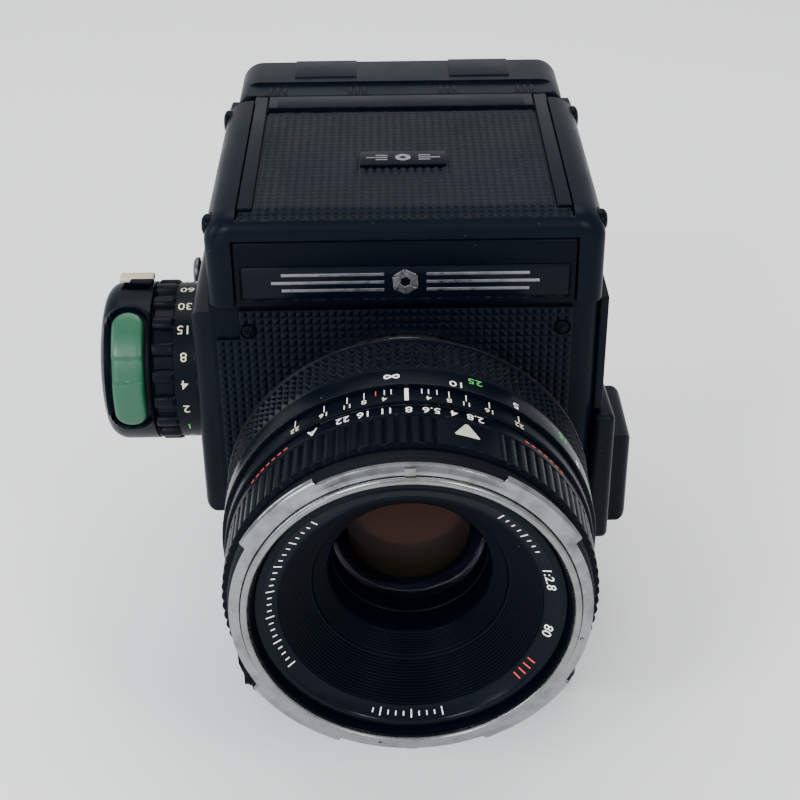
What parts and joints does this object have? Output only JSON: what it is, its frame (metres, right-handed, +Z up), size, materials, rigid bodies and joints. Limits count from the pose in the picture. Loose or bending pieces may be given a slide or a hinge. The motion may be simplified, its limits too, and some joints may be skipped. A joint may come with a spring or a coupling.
{
  "type": "medium format reflex camera",
  "caption": "Medium-format single-lens reflex camera with a folding waist-level finder, a detachable film magazine, a side speed dial and a large lens with a bright front ring.",
  "frame": {"origin": "middle of the base plate's underside, in the plane of the lens axis", "axes": "+Z up, the lens looks along -Y, +X towards the side with the release housing"},
  "size_m": [0.1298, 0.1764, 0.1398],
  "materials": {
    "black_metal": "satin black anodised and painted light alloy",
    "black_plastic": "satin black moulded plastic",
    "leather": "black grip panel pressed with small pyramids",
    "chrome": "satin chrome with bright edges",
    "steel": "machined steel, blackened where it shows",
    "glass": "clear coated glass",
    "mirror_coat": "front-silvered mirror",
    "green_plastic": "satin green moulded plastic",
    "cream_plastic": "satin cream moulded plastic",
    "circuit_board": "green board",
    "film_paper": "backing paper rolled on a plastic spool"
  },
  "bodies": {
    "body": {"body_casing": "black_metal", "front_leather": "leather", "base_plate": "black_metal", "tripod_bush": "steel", "left_side_housing": "black_plastic", "right_side_cover": "black_plastic", "release_housing": "black_plastic", "grip_block": "black_plastic", "strap_lug_left": "steel", "strap_lug_right": "steel", "lens_mount_ring": "steel", "drive_motor": "steel", "battery_pack": "black_plastic", "circuit_board": "circuit_board", "finder_housing": "black_metal", "nameplate_block": "black_plastic", "screen_frame": "black_metal", "focusing_screen": "glass", "rear_deck": "black_metal", "hinge_pin": "steel", "front_screw_left": "steel", "front_screw_right": "steel", "dial_drum": "black_plastic", "magazine_shell": "black_metal", "film_insert": "black_plastic", "pressure_plate": "steel", "lens_core_barrel": "black_metal", "dof_ring": "black_metal", "rear_glass": "glass", "iris_unit": "steel"},
    "lid": {"hood_lid": "black_metal", "lid_panel": "leather", "lid_badge": "black_metal"},
    "left_flap": {"side_flap_left": "black_metal"},
    "right_flap": {"side_flap_right": "black_metal"},
    "front_flap": {"front_flap": "black_metal"},
    "magnifier": {"magnifier_plate": "black_metal", "magnifier_lens": "glass"},
    "left_hood_button": {"hood_button_left": "black_metal"},
    "right_hood_button": {"hood_button_right": "black_metal"},
    "mirror": {"mirror_carrier": "steel", "mirror_glass": "mirror_coat"},
    "baffle": {"rear_baffle": "black_metal"},
    "speed_dial": {"shutter_dial": "black_plastic"},
    "mode_button": {"mode_button": "green_plastic"},
    "index_slider": {"index_slider": "cream_plastic"},
    "focus_ring": {"focus_ring": "black_metal"},
    "front_group": {"front_barrel": "black_metal", "chrome_ring": "chrome", "name_ring": "black_metal", "ribbed_baffle": "black_metal", "front_glass": "glass"},
    "aperture_ring": {"aperture_ring": "black_metal"},
    "release_button": {"release_button": "chrome"},
    "magazine_door": {"magazine_door": "black_metal"},
    "magazine_catch": {"magazine_catch": "steel"},
    "dark_slide": {"dark_slide": "steel"},
    "supply_spool": {"supply_spool": "film_paper"},
    "takeup": {"takeup_spool": "film_paper", "winding_crank": "black_metal"}
  },
  "joints": [
    {"name": "lid_hinge", "type": "hinge", "parent": "body", "child": "lid", "pos_m": [0, 0.021, 0.1384], "axis": [-1, 0, 0], "range_deg": [0, 95]},
    {"name": "left_flap_hinge", "type": "hinge", "parent": "body", "child": "left_flap", "pos_m": [-0.0352, 0, 0.1346], "axis": [0, -1, 0], "range_deg": [0, 86]},
    {"name": "right_flap_hinge", "type": "hinge", "parent": "body", "child": "right_flap", "pos_m": [0.0352, 0, 0.1346], "axis": [0, 1, 0], "range_deg": [0, 86]},
    {"name": "front_flap_hinge", "type": "hinge", "parent": "body", "child": "front_flap", "pos_m": [0, -0.0436, 0.1325], "axis": [1, 0, 0], "range_deg": [0, 86]},
    {"name": "magnifier_hinge", "type": "hinge", "parent": "front_flap", "child": "magnifier", "pos_m": [0, -0.0276, 0.1325], "axis": [-1, 0, 0], "range_deg": [0, 86]},
    {"name": "left_hood_button_press", "type": "slide", "parent": "body", "child": "left_hood_button", "axis": [1, 0, 0], "range_m": [0, 0.001], "stiffness_N_per_m": 400},
    {"name": "right_hood_button_press", "type": "slide", "parent": "body", "child": "right_hood_button", "axis": [-1, 0, 0], "range_m": [0, 0.001], "stiffness_N_per_m": 400},
    {"name": "mirror_hinge", "type": "hinge", "parent": "body", "child": "mirror", "pos_m": [0, 0.014, 0.1045], "axis": [-1, 0, 0], "range_deg": [0, 45]},
    {"name": "baffle_hinge", "type": "hinge", "parent": "body", "child": "baffle", "pos_m": [0, 0.0164, 0.0991], "axis": [-1, 0, 0], "range_deg": [0, 90]},
    {"name": "speed_dial_turn", "type": "hinge", "parent": "body", "child": "speed_dial", "pos_m": [-0.054, -0.02, 0.0875], "axis": [-1, 0, 0], "range_deg": [-140, 160]},
    {"name": "mode_button_press", "type": "slide", "parent": "body", "child": "mode_button", "axis": [0, 0.9298, -0.3681], "range_m": [0, 0.0009], "stiffness_N_per_m": 400},
    {"name": "index_slide", "type": "slide", "parent": "body", "child": "index_slider", "axis": [0, 1, 0], "range_m": [-0.0025, 0.0025]},
    {"name": "focus_turn", "type": "hinge", "parent": "body", "child": "focus_ring", "pos_m": [0, -0.07, 0.0765], "axis": [0, -1, 0], "range_deg": [-4, 216]},
    {"name": "front_group_slide", "type": "slide", "parent": "body", "child": "front_group", "axis": [0, -1, 0], "range_m": [-0.00014, 0.0069]},
    {"name": "aperture_turn", "type": "hinge", "parent": "body", "child": "aperture_ring", "pos_m": [0, -0.095, 0.0765], "axis": [0, -1, 0], "range_deg": [-30, 20]},
    {"name": "release_press", "type": "slide", "parent": "body", "child": "release_button", "axis": [0, 1, 0], "range_m": [0, 0.002], "stiffness_N_per_m": 400},
    {"name": "magazine_door_hinge", "type": "hinge", "parent": "body", "child": "magazine_door", "pos_m": [0, 0.069, 0.004], "axis": [-1, 0, 0], "range_deg": [0, 90]},
    {"name": "magazine_catch_slide", "type": "slide", "parent": "body", "child": "magazine_catch", "axis": [0, -1, 0], "range_m": [0, 0.002], "stiffness_N_per_m": 400},
    {"name": "dark_slide_pull", "type": "slide", "parent": "body", "child": "dark_slide", "axis": [1, 0, 0], "range_m": [0, 0.062]},
    {"name": "supply_turn", "type": "hinge", "parent": "body", "child": "supply_spool", "pos_m": [0, 0.0476, 0.0515], "axis": [1, 0, 0], "continuous": true},
    {"name": "takeup_turn", "type": "hinge", "parent": "body", "child": "takeup", "pos_m": [0, 0.0476, 0.1005], "axis": [1, 0, 0], "continuous": true}
  ],
  "couplings": [
    {"joint": "left_flap_hinge", "follows": "lid_hinge", "ratio": 0.9},
    {"joint": "right_flap_hinge", "follows": "lid_hinge", "ratio": 0.9},
    {"joint": "front_flap_hinge", "follows": "lid_hinge", "ratio": 0.9},
    {"joint": "magnifier_hinge", "follows": "lid_hinge", "ratio": 0.9},
    {"joint": "baffle_hinge", "follows": "mirror_hinge", "ratio": 2},
    {"joint": "front_group_slide", "follows": "focus_turn", "m_per_rad": 0.001823},
    {"joint": "supply_turn", "follows": "takeup_turn", "ratio": 1}
  ]
}
